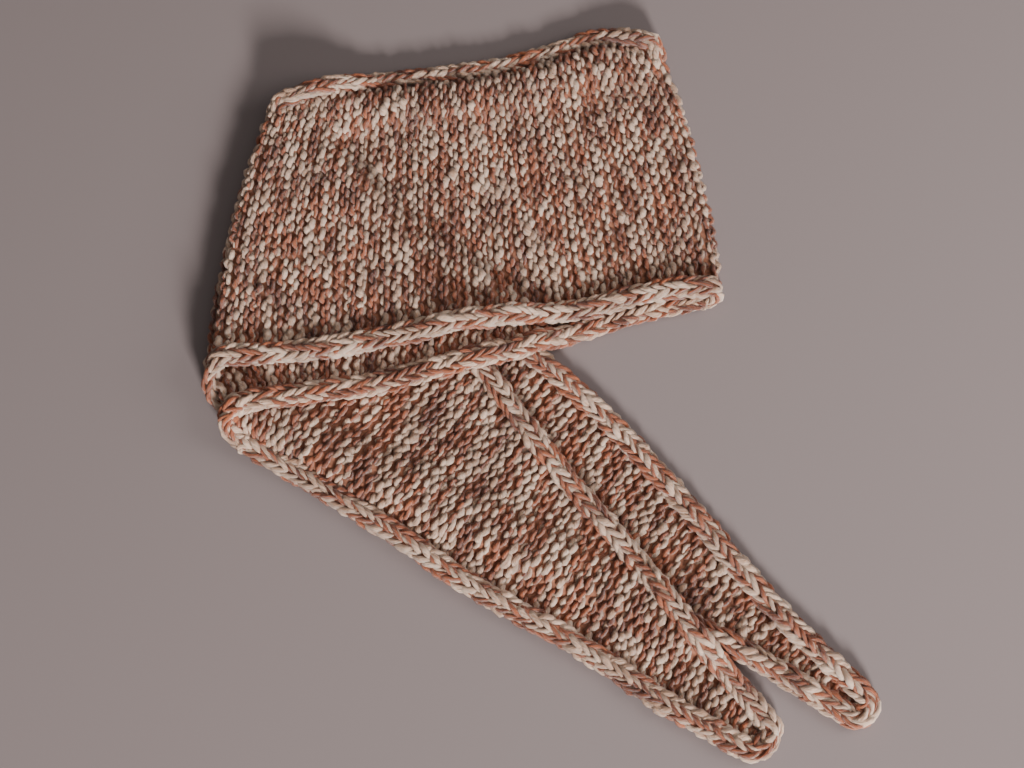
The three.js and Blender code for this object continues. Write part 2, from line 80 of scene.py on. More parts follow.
# Columns: ridge, lower edge x and y, upper edge x and y, bow to the left
frontRows = np.array([
    (0, 133, 68.5, 96, 244, -6),
    (6, 90, 63.5, 60, 249, -3),
    (12, 45, 51.5, 24, 237, 0),
    (18, -1, 45, -12, 227, 0),
    (24, -46, 35, -49, 221, 0),
    (30, -92, 24.5, -86, 216.5, 2),
    (36, -138, 16.5, -121, 208, 4),
    (42, -184, 12.5, -153, 192, 6)], float)
backLower = np.array([
    (0, 131, 55.5),
    (6, 87, 46),
    (12, 42, 31.5),
    (18, -4, 17),
    (24, -50, 6),
    (30, -94, -5.5),
    (36, -136, -11),
    (42, -170, -17)], float)
tailFrontRows = np.array([
    (0, -170, -41, -152, 190, 0),
    (7, -139, -59, -49, 48, 0),
    (16, -80, -95, -9.5, -6.5, 0),
    (26, -23, -133, 30, -61, 0),
    (35, 37.5, -166.5, 73, -113, 0),
    (45, 95, -204, 114, -166, 0),
    (54, 142, -231, 156, -216, 0)], float)
tailBackRows = np.array([
    (0, -184, -15.5, -157, 168, 0),
    (7, -140, -34, -46, 77, 0),
    (18, -70, -69, 9, 23, 0),
    (28, 0, -103, 64, -29, 0),
    (39, 70, -137, 114, -87, 0),
    (49, 139, -170, 162.5, -146, 0),
    (60, 206, -211, 216, -201, 0)], float)


def smooth(x):
    t = np.clip(x, 0, 1)
    return t * t * (3 - 2 * t)


def mix(a, b, t):
    return a + (b - a) * t


def tableAt(rows, ridge):   # every column at any ridge number, as smooth curves through the rows
    ridge = np.atleast_1d(np.asarray(ridge, float))
    at, values = rows[:, 0], rows[:, 1:]
    last = len(at) - 1
    i = np.clip(np.searchsorted(at, ridge, side="right") - 1, 0, last - 1)
    before = np.maximum(np.arange(last + 1) - 1, 0)
    after = np.minimum(np.arange(last + 1) + 1, last)
    slope = (values[after] - values[before]) / (at[after] - at[before])[:, None]
    span = (at[i + 1] - at[i])[:, None]
    t = (ridge[:, None] - at[i][:, None]) / span
    a, b = values[i], values[i + 1]
    rise, fall = slope[i] * span, slope[i + 1] * span
    curved = (2 * t**3 - 3 * t**2 + 1) * a + (t**3 - 2 * t**2 + t) * rise
    curved = curved + (3 * t**2 - 2 * t**3) * b + (t**3 - t**2) * fall
    return np.where(t < 0, a + t * rise, np.where(t > 1, b + (t - 1) * fall, curved))


def unit(v):
    return v / np.maximum(np.linalg.norm(v, axis=-1, keepdims=True), 1e-9)


def turnLeft(v):
    return np.stack([-v[..., 1], v[..., 0]], -1)


def ridgePoint(rows, ridge, across):   # across is 0 at the lower edge and 1 at the upper
    table = tableAt(rows, ridge)
    lower, upper = table[:, 0:2], table[:, 2:4]
    across = np.asarray(across, float)
    bow = table[:, 4] * 4 * across * (1 - across)
    return lower + (upper - lower) * across[:, None] + turnLeft(unit(upper - lower)) * bow[:, None]


def sideOf(line, points):   # distance from a line that is carried on past its ends, above zero on its left
    best = np.full(len(points), np.inf)
    signed = np.zeros(len(points))
    for k in range(len(line) - 1):
        step = line[k + 1] - line[k]
        away = points - line[k]
        t = away @ step / (step @ step)
        low = -np.inf if k == 0 else 0
        high = np.inf if k == len(line) - 2 else 1
        t = np.clip(t, low, high)
        gap = np.linalg.norm(away - t[:, None] * step, axis=1)
        side = np.sign(step[0] * away[:, 1] - step[1] * away[:, 0])
        nearer = gap < best
        best = np.where(nearer, gap, best)
        signed = np.where(nearer, gap * side, signed)
    return signed


def edgeLine(rows, side, last):
    columns = tableAt(rows, np.arange(0, last + 1))
    return columns[:, 0:2] if side == "lower" else columns[:, 2:4]


lines = {
    "frontLower": edgeLine(frontRows, "lower", 42),
    "frontUpper": edgeLine(frontRows, "upper", 42),
    "tailFrontUpper": edgeLine(tailFrontRows, "upper", 54),
    "tailBackUpper": edgeLine(tailBackRows, "upper", 60),
    "tailBackLower": edgeLine(tailBackRows, "lower", 60),
    "rightFold": ridgePoint(frontRows, np.full(5, float(rightFold["ridge"])), np.linspace(0, 1, 5)),
    "leftFold": ridgePoint(frontRows, np.full(5, float(leftFold["ridge"])), np.linspace(0, 1, 5)),
}


def overEdge(inside, crest=1.0):   # underside of what lies over an edge cord
    top = mix(layerStep, cordStep, crest)
    outside = top * smooth((inside + scarf["drapeOut"]) / (scarf["drapeOut"] - scarf["drapeTop"]))
    within = smooth((inside - scarf["drapeTop"]) / (scarf["drapeIn"] - scarf["drapeTop"]))
    return np.where(inside < 0, outside, mix(top, layerStep, within))


def onSurface(points):
    return np.zeros(len(points))


def underTailBack(points):   # on the surface, and rising at its start into the left fold
    radius = leftFold["layers"] / 2 * layerStep
    beyond = np.clip(sideOf(lines["leftFold"], points), 0, radius * 0.98)
    return radius - np.sqrt(radius**2 - beyond**2)


def underTailFront(points):
    return overEdge(sideOf(lines["tailBackLower"], points))


def underBack(points, crest=1.0):
    overBackTail = overEdge(-sideOf(lines["tailBackUpper"], points), crest)
    overFrontTail = overEdge(-sideOf(lines["tailFrontUpper"], points), crest)
    return overBackTail + overFrontTail + underTailFront(points) - layerStep


def underFront(points):
    crest = mix(1, scarf["crestFelt"], smooth(-sideOf(lines["frontLower"], points) / scarf["crestFade"]))
    free = underBack(points, crest) + overEdge(sideOf(lines["frontUpper"], points) - scarf["backInset"])
    leftHold = 1 - smooth(np.abs(sideOf(lines["leftFold"], points)) / leftFold["reach"])
    rightHold = 1 - smooth(np.abs(sideOf(lines["rightFold"], points)) / rightFold["reach"])
    held = mix(free, leftFold["layers"] * layerStep, leftHold)
    return mix(held, rightFold["layers"] * layerStep, rightHold)


def underBackEnd(points):   # sinking into the inner fold at its left end
    return underBack(points) - layerStep * smooth((sideOf(lines["leftFold"], points) + 3) / 14)


def foldRun(fold):   # how many ridges of fabric a fold takes
    return math.pi * fold["layers"] * layerStep / 2 / scarf["ridgePitch"]


rightRun = foldRun(rightFold)
leftRun = foldRun(leftFold)


# Middle of the fabric's thickness, and the way up from it, on a fold: turned is 0 on top and 1 underneath
def foldSurface(fold, turned, across):
    table = tableAt(frontRows, fold["ridge"])[0]
    along = unit(table[2:4] - table[0:2])
    outward = turnLeft(along) * (-1 if fold is rightFold else 1)
    angle = np.asarray(turned) * math.pi
    base = ridgePoint(frontRows, np.full(len(angle), float(fold["ridge"])), across)
    base = base - along * ((1 - np.cos(angle)) / 2 * mix(fold["slip"][0], fold["slip"][1], across))[:, None]
    radius = fold["layers"] * layerStep / 2
    flat = base + outward * (radius * np.sin(angle))[:, None]
    height = (fold["layers"] * layerStep + scarf["fabric"]) / 2 + radius * np.cos(angle)
    up = np.column_stack([outward * np.sin(angle)[:, None], np.cos(angle)])
    return np.column_stack([flat, height]), up


# A stretch as a fine grid of middle points and upward directions, read at any ridge and place
class Cloth:
    def __init__(self, rows, first, last, under, folds=False):
        self.rows = rows
        self.ridges = np.linspace(first, last, int((last - first) * 4) + 1)
        self.across = np.linspace(-0.06, 1.06, 113)
        ridge, across = [a.ravel() for a in np.meshgrid(self.ridges, self.across, indexing="ij")]
        shape = (len(self.ridges), len(self.across), 3)
        flat = ridgePoint(rows, ridge, across)
        points = np.column_stack([flat, under(flat) + scarf["fabric"] / 2])
        grid = points.reshape(shape)
        up = unit(np.cross(np.gradient(grid, axis=1), np.gradient(grid, axis=0)))
        up = (up * np.sign(up[..., 2:3])).reshape(-1, 3)
        if folds:
            onRight = ridge < rightFold["ridge"]
            onLeft = ridge > leftFold["ridge"]
            for part, fold, run in ((onRight, rightFold, rightRun), (onLeft, leftFold, leftRun)):
                turned = np.abs(ridge[part] - fold["ridge"]) / run
                points[part], up[part] = foldSurface(fold, turned, across[part])
        self.points = points.reshape(shape)
        self.up = up.reshape(shape)

    def at(self, ridge, across, lift):
        i = (ridge - self.ridges[0]) / (self.ridges[1] - self.ridges[0])
        j = (across - self.across[0]) / (self.across[1] - self.across[0])
        i = np.clip(i, 0, len(self.ridges) - 1.001)
        j = np.clip(j, 0, len(self.across) - 1.001)
        a, b = i.astype(int), j.astype(int)
        s, t = (i - a)[..., None], (j - b)[..., None]
        read = lambda g: ((g[a, b] * (1 - s) + g[a + 1, b] * s) * (1 - t)
                          + (g[a, b + 1] * (1 - s) + g[a + 1, b + 1] * s) * t)
        return read(self.points) + unit(read(self.up)) * np.asarray(lift)[..., None]

    def length(self, ridge):   # from cord middle to cord middle, on a fold as just before it
        table = tableAt(self.rows, np.clip(ridge, self.rows[0, 0], self.rows[-1, 0]))
        return np.linalg.norm(table[:, 2:4] - table[:, 0:2], axis=1)


def covered(rows, ridge, line, distance):   # where a ridge has come a distance past the right of a line
    places = np.linspace(0, 1, 121)
    ridge = np.atleast_1d(ridge)
    points = ridgePoint(rows, np.repeat(ridge, len(places)), np.tile(places, len(ridge)))
    beyond = (-sideOf(line, points) > distance).reshape(len(ridge), -1)
    return np.where(beyond.any(1), places[beyond.argmax(1)], 1.0)


backTop = tableAt(frontRows, backLower[:, 0])[:, 0:2]
backRows = np.column_stack([backLower, backTop, np.zeros(len(backLower))])
cloths = {
    "front": Cloth(frontRows, -rightRun, leftFold["ridge"] + leftRun, underFront, folds=True),
    "back": Cloth(backRows, -1, 45, underBackEnd),
    "tailFront": Cloth(tailFrontRows, -2, 55, underTailFront),
    "tailBack": Cloth(tailBackRows, -2, 61, underTailBack),
}
print("scarf: cloth surfaces worked out")


def frontUp(ridge):
    return np.ones(len(ridge))


def backUp(ridge):
    return 1 + scarf["tuck"] / cloths["back"].length(ridge)


def tailFrontUp(ridge):
    return covered(tailFrontRows, ridge, lines["frontLower"], scarf["tuck"])


def tailBackUp(ridge):
    return covered(tailBackRows, ridge, lines["frontLower"], scarf["tuck"])


# Where the yarn shows: first and last ridge, and the end of each ridge
stretches = {
    "front": {"first": -rightRun, "last": leftFold["ridge"] + leftRun * 0.97, "end": frontUp, "seed": 11},
    "back": {"first": 0.0, "last": 44.2, "end": backUp, "seed": 23},
    "tailFront": {"first": -1.8, "last": 54.6, "end": tailFrontUp, "seed": 37},
    "tailBack": {"first": -1.2, "last": 60.2, "end": tailBackUp, "seed": 41},
}


def finish(name, vertices, faces, edges=()):   # millimetres from the table zero to metres from the origin
    mesh = bpy.data.meshes.new(name)
    placed = (np.asarray(vertices) + np.array([scarf["zero"][0], scarf["zero"][1], 0])) * mm
    mesh.from_pydata(placed.tolist(), [tuple(e) for e in edges], [tuple(f) for f in faces])
    mesh.update()
    piece = bpy.data.objects.new(name, mesh)
    bpy.context.scene.collection.objects.link(piece)
    return piece


def gridFaces(rows, columns):   # a closed wall: rings of points, capped at both ends
    index = np.arange(rows * columns).reshape(rows, columns)
    turned = np.roll(index, -1, axis=1)
    sides = np.stack([index[:-1], turned[:-1], turned[1:], index[1:]], -1).reshape(-1, 4)
    faces = [tuple(f) for f in sides]
    for ring, flip in ((index[0], False), (index[-1], True)):
        low, high = 0, columns - 1
        while high - low > 1:
            quad = [ring[low], ring[high], ring[high - 1], ring[low + 1]]
            quad = quad[:3] if high - low == 2 else quad
            faces.append(tuple(reversed(quad)) if flip else tuple(quad))
            low, high = low + 1, high - 1
    return faces


def facingOut(piece):
    mesh = piece.data
    coordinates = np.empty(len(mesh.vertices) * 3)
    mesh.vertices.foreach_get("co", coordinates)
    coordinates = coordinates.reshape(-1, 3)
    mesh.calc_loop_triangles()
    triangles = np.empty(len(mesh.loop_triangles) * 3, int)
    mesh.loop_triangles.foreach_get("vertices", triangles)
    a, b, c = [coordinates[triangles.reshape(-1, 3)[:, k]] for k in range(3)]
    if np.einsum("ij,ij->i", a, np.cross(b, c)).sum() < 0:
        mesh.flip_normals()
    for polygon in mesh.polygons:
        polygon.use_smooth = True
    return piece


# Materials
def linear(code):   # an sRGB hex value as linear colour
    parts = [int(code[k:k + 2], 16) / 255 for k in (1, 3, 5)]
    return tuple(c / 12.92 if c <= 0.04045 else ((c + 0.055) / 1.055) ** 2.4 for c in parts) + (1.0,)


def addNode(tree, kind, settings=None, values=None, links=None):
    node = tree.nodes.new(kind)
    for key, value in (settings or {}).items():
        setattr(node, key, value)
    for key, value in (values or {}).items():
        node.inputs[key].default_value = value
    for key, source in (links or {}).items():
        tree.links.new(source, node.inputs[key])
    return node


def newMaterial(name):
    material = bpy.data.materials.new(name)
    material.use_nodes = True
    tree = material.node_tree
    tree.nodes.clear()
    return material, tree


wool = {
    "creamLight": "#dfbca3", "creamDark": "#ab846b",
    "rustLight": "#b0623d", "rustDark": "#67331d",
    "shadeLight": "#a06a52", "shadeDark": "#674234",
    "roughness": 0.95, "sheen": 0.35,
    "soft": 0.5, "softDepth": 0.9,   # share and depth of the light that wanders inside the loose fibres
    "plyTurn": 9.0,            # along the strand, for one turn of its fibres round it
    "streaksAround": 1.9, "streakLength": 2.6,   # bundles of fibres, drawn coarser than real ones to show
    "patch": 22.0,             # length of a lighter or darker place in the spinning
    "clump": 4.0,              # size of a loop that is seen from inside
}


# Softly spun wool: no gloss, a pale bloom at grazing angles, and bundles of fibres
# that wind along the strand
def spunWool(name, light, dark):
    material, tree = newMaterial(name)
    along = addNode(tree, "ShaderNodeAttribute", {"attribute_name": "along"})
    around = addNode(tree, "ShaderNodeAttribute", {"attribute_name": "around"})
    place = addNode(tree, "ShaderNodeTexCoord")
    turned = addNode(tree, "ShaderNodeMath", {"operation": "MULTIPLY_ADD"}, {1: 1 / wool["plyTurn"]},
                     {0: along.outputs["Fac"], 2: around.outputs["Fac"]})
    angle = addNode(tree, "ShaderNodeMath", {"operation": "MULTIPLY"},
                    {1: 2 * math.pi}, {0: turned.outputs[0]})
    east = addNode(tree, "ShaderNodeMath", {"operation": "COSINE"}, None, {0: angle.outputs[0]})
    north = addNode(tree, "ShaderNodeMath", {"operation": "SINE"}, None, {0: angle.outputs[0]})
    length = addNode(tree, "ShaderNodeMath", {"operation": "MULTIPLY"},
                     {1: 1 / wool["streakLength"] / wool["streaksAround"]}, {0: along.outputs["Fac"]})
    wrapped = addNode(tree, "ShaderNodeCombineXYZ", None, None,
                      {"X": east.outputs[0], "Y": north.outputs[0], "Z": length.outputs[0]})
    fibres = addNode(tree, "ShaderNodeTexNoise", None,
                     {"Scale": wool["streaksAround"], "Detail": 4.0, "Roughness": 0.65},
                     {"Vector": wrapped.outputs[0]})
    patch = addNode(tree, "ShaderNodeTexNoise", None, {"Scale": 1000 / wool["patch"], "Detail": 2.0},
                    {"Vector": place.outputs["Object"]})
    blend = addNode(tree, "ShaderNodeMath", {"operation": "ADD"}, None,
                    {0: patch.outputs["Fac"], 1: fibres.outputs["Fac"]})
    ramp = addNode(tree, "ShaderNodeMapRange", None,
                   {"From Min": 0.84, "From Max": 1.16}, {"Value": blend.outputs[0]})
    colour = addNode(tree, "ShaderNodeMix", {"data_type": "RGBA"}, {6: linear(dark), 7: linear(light)},
                     {0: ramp.outputs["Result"]})
    bump = addNode(tree, "ShaderNodeBump", None, {"Strength": 1.0, "Distance": 0.0024},
                   {"Height": fibres.outputs["Fac"]})
    shader = addNode(tree, "ShaderNodeBsdfPrincipled", None,
                     {"Roughness": wool["roughness"], "Sheen Weight": wool["sheen"], "Sheen Roughness": 0.5,
                      "Specular IOR Level": 0.15, "Subsurface Weight": wool["soft"],
                      "Subsurface Scale": wool["softDepth"] * mm, "Subsurface Radius": (1.0, 0.75, 0.6)},
                     {"Base Color": colour.outputs[2], "Normal": bump.outputs["Normal"]})
    addNode(tree, "ShaderNodeOutputMaterial", None, None, {"Surface": shader.outputs["BSDF"]})
    return material


# The inside of the knitting, seen between the stitches: both strands, deep in their own shade
def innerKnit(name):
    material, tree = newMaterial(name)
    place = addNode(tree, "ShaderNodeTexCoord")
    clumps = addNode(tree, "ShaderNodeTexNoise", None, {"Scale": 1000 / wool["clump"], "Detail": 3.0},
                     {"Vector": place.outputs["Object"]})
    ramp = addNode(tree, "ShaderNodeMapRange", None,
                   {"From Min": 0.35, "From Max": 0.65}, {"Value": clumps.outputs["Fac"]})
    colour = addNode(tree, "ShaderNodeMix", {"data_type": "RGBA"},
                     {6: linear(wool["shadeDark"]), 7: linear(wool["shadeLight"])},
                     {0: ramp.outputs["Result"]})
    bump = addNode(tree, "ShaderNodeBump", None, {"Strength": 0.8, "Distance": 0.0012},
                   {"Height": clumps.outputs["Fac"]})
    shader = addNode(tree, "ShaderNodeBsdfPrincipled", None,
                     {"Roughness": 1.0, "Sheen Weight": 0.1, "Specular IOR Level": 0.1},
                     {"Base Color": colour.outputs[2], "Normal": bump.outputs["Normal"]})
    addNode(tree, "ShaderNodeOutputMaterial", None, None, {"Surface": shader.outputs["BSDF"]})
    return material


creamWool = spunWool("creamSlubWool", wool["creamLight"], wool["creamDark"])
rustWool = spunWool("rustSpunWool", wool["rustLight"], wool["rustDark"])
shadedKnit = innerKnit("shadedKnitInside")


# Thin closed cloth under the stitches
shell = {
    "below": 2.3, "above": 0.9,      # its faces, from the fabric's middle
    "stepsAcross": 28, "ridgeStep": 0.6,
    "edgeInset": 4.0,                # from a cord's middle
    "backWidth": 190.0,              # of the second layer
}


def clothShell(name, stretch):
    cloth, facts = cloths[stretch], stretches[stretch]
    count = int((facts["last"] - facts["first"]) / shell["ridgeStep"]) + 1
    ridges = np.linspace(facts["first"], facts["last"], count)
    start = shell["edgeInset"] / cloth.length(ridges)
    end = facts["end"](ridges)
    atEdge = 1 + scarf["tuck"] / shell["backWidth"] if stretch == "back" else 1 - start
    end = np.where(end >= 1, atEdge, end)
    end = np.maximum(end, start + 0.01)
    part = np.linspace(0, 1, shell["stepsAcross"])
    across = start[:, None] + (end - start)[:, None] * part
    ridge = np.repeat(ridges[:, None], len(part), 1)
    top = cloth.at(ridge, across, np.full(ridge.shape, shell["above"]))
    bottom = cloth.at(ridge, across, np.full(ridge.shape, -shell["below"]))
    rings = np.concatenate([top, bottom[:, ::-1]], axis=1)
    piece = finish(name, rings.reshape(-1, 3), gridFaces(len(ridges), 2 * len(part)))
    piece.data.materials.append(shadedKnit)
    facingOut(piece)
    width = np.trapz((end - start) * cloth.length(ridges), ridges) / (ridges[-1] - ridges[0])
    length = (ridges[-1] - ridges[0]) * scarf["ridgePitch"]
    return piece, (width * mm, length * mm)


# A tree that sweeps a round strand along every guide line
def strandTree(name, material):
    tree = bpy.data.node_groups.new(name, "GeometryNodeTree")
    tree.interface.new_socket("Geometry", in_out="INPUT", socket_type="NodeSocketGeometry")
    tree.interface.new_socket("Sides", in_out="INPUT", socket_type="NodeSocketInt")
    tree.interface.new_socket("Strand radius", in_out="INPUT", socket_type="NodeSocketFloat")
    tree.interface.new_socket("Geometry", in_out="OUTPUT", socket_type="NodeSocketGeometry")
    given = addNode(tree, "NodeGroupInput")
    guides = addNode(tree, "GeometryNodeMeshToCurve", None, None, {"Mesh": given.outputs["Geometry"]})
    ring = addNode(tree, "GeometryNodeCurvePrimitiveCircle", None, None,
                   {"Resolution": given.outputs["Sides"], "Radius": given.outputs["Strand radius"]})
    factor = addNode(tree, "GeometryNodeSplineParameter")
    marked = addNode(tree, "GeometryNodeStoreNamedAttribute", {"data_type": "FLOAT", "domain": "POINT"},
                     {"Name": "around"},
                     {"Geometry": ring.outputs["Curve"], "Value": factor.outputs["Factor"]})
    thickness = addNode(tree, "GeometryNodeInputNamedAttribute", {"data_type": "FLOAT"},
                        {"Name": "thickness"})
    swept = addNode(tree, "GeometryNodeCurveToMesh", None, {"Fill Caps": True},
                    {"Curve": guides.outputs["Curve"], "Profile Curve": marked.outputs["Geometry"],
                     "Scale": thickness.outputs["Attribute"]})
    softened = addNode(tree, "GeometryNodeSetShadeSmooth", None, None, {"Geometry": swept.outputs["Mesh"]})
    real = addNode(tree, "GeometryNodeRealizeInstances", None, None,
                   {"Geometry": softened.outputs["Geometry"]})
    coloured = addNode(tree, "GeometryNodeSetMaterial", None, {"Material": material},
                       {"Geometry": real.outputs["Geometry"]})
    addNode(tree, "NodeGroupOutput", None, None, {"Geometry": coloured.outputs["Geometry"]})
    return tree


strandTrees = {"Cream": strandTree("creamStrands", creamWool), "Rust": strandTree("rustStrands", rustWool)}
strand = {"sides": 6, "radius": 1.0}


# Guide lines as arrays of line, point and xyz, made into one plain mesh
def sweepStrands(name, tree, lines3d, thickness, along):
    count, points = lines3d.shape[:2]
    lines3d = lines3d.copy()
    lines3d[..., 2] = np.maximum(lines3d[..., 2], thickness)   # nothing sinks into the surface
    index = np.arange(count * points).reshape(count, points)
    edges = np.stack([index[:, :-1], index[:, 1:]], -1).reshape(-1, 2)
    guide = finish(name + "Guide", lines3d.reshape(-1, 3), [], edges)
    for key, values in (("thickness", thickness), ("along", along)):
        attribute = guide.data.attributes.new(key, "FLOAT", "POINT")
        attribute.data.foreach_set("value", np.ascontiguousarray(values, dtype=np.float32).ravel())
    modifier = guide.modifiers.new("strands", "NODES")
    modifier.node_group = tree
    sockets = {s.name: s.identifier for s in tree.interface.items_tree if s.in_out == "INPUT"}
    modifier[sockets["Sides"]] = strand["sides"]
    modifier[sockets["Strand radius"]] = strand["radius"] * mm
    evaluated = guide.evaluated_get(bpy.context.evaluated_depsgraph_get())
    mesh = bpy.data.meshes.new_from_object(evaluated)
    mesh.name = name
    piece = bpy.data.objects.new(name, mesh)
    bpy.context.scene.collection.objects.link(piece)
    bpy.data.objects.remove(guide)
    return piece


def softNoise(seed, length):   # smooth random values between -1 and 1, read at any place
    values = np.random.default_rng(seed).uniform(-1, 1, 4096)

    def read(place):
        x = np.asarray(place) / length
        a = np.floor(x).astype(int)
        t = x - a
        t = t * t * (3 - 2 * t)
        return values[a % 4096] * (1 - t) + values[(a + 1) % 4096] * t
    return read


# The two strands of the yarn: how thick they are and how they lie round each other
yarn = {
    "creamThin": 1.2, "creamFat": 2.2,
    "rustThin": 0.95, "rustFat": 1.6,
    "lump": 0.9, "lumpShare": 0.12, "lumpLength": 30.0,   # the fattest slubs
    "slubLength": 38.0,        # of yarn, from thin to fat
    "turnLength": 190.0,       # of yarn, for one turn of the strands round each other
    "wander": 2.6, "wanderLength": 110.0,
    "rough": 0.14,             # uneven spinning, as a share of the thickness
    "grainLength": 9.0,        # of yarn, between its smallest changes
    "bite": 0.85,              # how close the strands press together, 1 is just touching
    "perStitch": 26.0,         # yarn in a stitch
    "perBead": 4.0,            # yarn in half of the bead that shows of it
}


# Both strands along a line of middles; dwell keeps either of them on top for longer
def layStrands(middle, sideways, upwards, place, taper, seed, dwell):
    slub = softNoise(seed, yarn["slubLength"])
    wander = softNoise(seed + 1, yarn["wanderLength"])
    grain = softNoise(seed + 2, yarn["grainLength"])
    angle = 2 * math.pi * place / yarn["turnLength"] + yarn["wander"] * wander(place)
    angle = angle + dwell * np.sin(2 * angle)
    creamUp = np.sin(angle)
    fat = smooth(0.45 + 0.6 * slub(place) + 0.2 * grain(place) + 0.25 * creamUp)
    lump = softNoise(seed + 3, yarn["lumpLength"])(place) - 1 + 2 * yarn["lumpShare"]
    lump = smooth(lump / yarn["lumpShare"])
    cream = mix(yarn["creamThin"], yarn["creamFat"], fat) + yarn["lump"] * lump
    rust = mix(yarn["rustFat"], yarn["rustThin"], 0.5 + 0.5 * creamUp)
    rng = np.random.default_rng(seed + 4)
    cream = cream * (1 + rng.normal(0, yarn["rough"], place.shape))
    rust = rust * (1 + rng.normal(0, yarn["rough"], place.shape))
    across = sideways * np.cos(angle)[..., None] + upwards * creamUp[..., None]
    creamLine = middle + across * (rust * yarn["bite"] * taper)[..., None]
    rustLine = middle - across * (cream * yarn["bite"] * taper)[..., None]
    return (creamLine, cream * taper, place), (rustLine, rust * taper, place + 7)


# Garter stitch: the beads of yarn that stand on the front, two staggered lines of them to a ridge
garter = {
    "halfLength": 3.9,
    "apart": 1.5, "bow": 1.5,  # from the ridge's middle to a bead's, and how far its ends curl back there
    "top": 1.6, "dive": 2.6,   # height of its middle over the fabric's, and how far its ends sink
    "narrow": 0.75,            # how much its ends are narrowed
    "points": 7,
    "edgeGap": 6.5,            # from a cord's middle to the nearest bead's
    "rowYarn": 977.0,          # yarn from one row to the next
    # Unevenness: along the ridge, slant, across it, size as a share, and height
    "jitter": 0.3, "lean": 0.07, "stray": 0.1, "uneven": 0.07, "lift": 0.25,
}


def garterBeads(stretch):
    cloth, facts = cloths[stretch], stretches[stretch]
    rng = np.random.default_rng(facts["seed"])
    pitch = scarf["stitchPitch"]
    t = np.linspace(-1, 1, garter["points"])
    lines3d, sideways, upwards, places = [], [], [], []
    for row in range(math.ceil(facts["first"] * 2), math.floor(facts["last"] * 2) + 1):
        head = row % 2 == 0
        side = 1 if head else -1
        length = cloth.length(np.array([row / 2]))[0]
        end = facts["end"](np.array([row / 2]))[0]
        stop = length - garter["edgeGap"] if end == 1 else end * length
        start = garter["edgeGap"] + (0 if head else pitch / 2)
        middles = np.arange(start, max(stop, garter["edgeGap"]), pitch)
        count = len(middles)
        if not count:
            continue
        moved = middles + rng.normal(0, garter["jitter"], count)
        sizes = 1 + rng.normal(0, garter["uneven"], count)
        lean = rng.normal(0, garter["lean"], count)
        raised = rng.normal(0, garter["lift"], count)
        along = garter["halfLength"] * t[None] * sizes[:, None]
        sideShift = side * (garter["apart"] - garter["bow"] * t**2)[None] + lean[:, None] * along
        height = garter["top"] + raised[:, None] - garter["dive"] * np.abs(t[None])**2.2
        sideShift = sideShift + rng.normal(0, garter["stray"], (count, 1))
        ridges = row / 2 - side * 0.25 + sideShift / scarf["ridgePitch"]
        part = (moved[:, None] + along) / length
        here = cloth.at(ridges, part, height)
        up = unit(cloth.at(ridges, part, height + 1) - here)
        tangent = unit(np.gradient(here, axis=1))
        lines3d.append(here)
        upwards.append(unit(up - tangent * np.sum(up * tangent, -1, keepdims=True)))
        sideways.append(unit(np.cross(tangent, up)))
        fromStart = middles[:, None] / pitch * yarn["perStitch"] + row * garter["rowYarn"]
        places.append(fromStart + t[None] * yarn["perBead"])
    lines3d, sideways, upwards, places = [np.concatenate(p) for p in (lines3d, sideways, upwards, places)]
    taper = np.broadcast_to(np.sqrt(1 - garter["narrow"] * t**2), places.shape)
    return layStrands(lines3d, sideways, upwards, places, taper, facts["seed"] + 100, 0.35)


def hiddenFrom(points, stretch):   # beads that other layers cover are left out
    flat = points[:, points.shape[1] // 2, :2]
    if stretch == "tailBack":
        inside = sideOf(lines["tailFrontUpper"], flat) < -9
        beyond = sideOf(edgeLine(tailFrontRows, "lower", 54), flat) > -3
        tip = tableAt(tailFrontRows, 54)[0]
        past = (flat - (tip[0:2] + tip[2:4]) / 2) @ unit(tip[0:2] - tableAt(tailFrontRows, 50)[0][0:2]) > 2
        return inside & beyond & ~past
    return np.zeros(len(flat), bool)


def stitchPieces(name, strands, split):
    pieces = []
    for tone, (points, thickness, along) in zip(("Cream", "Rust"), strands):
        for k, part in enumerate(np.array_split(np.arange(len(points)), split)):
            label = name + tone + ("ABCD"[k] if split > 1 else "")
            tree = strandTrees[tone]
            pieces.append(sweepStrands(label, tree, points[part], thickness[part], along[part]))
    return pieces


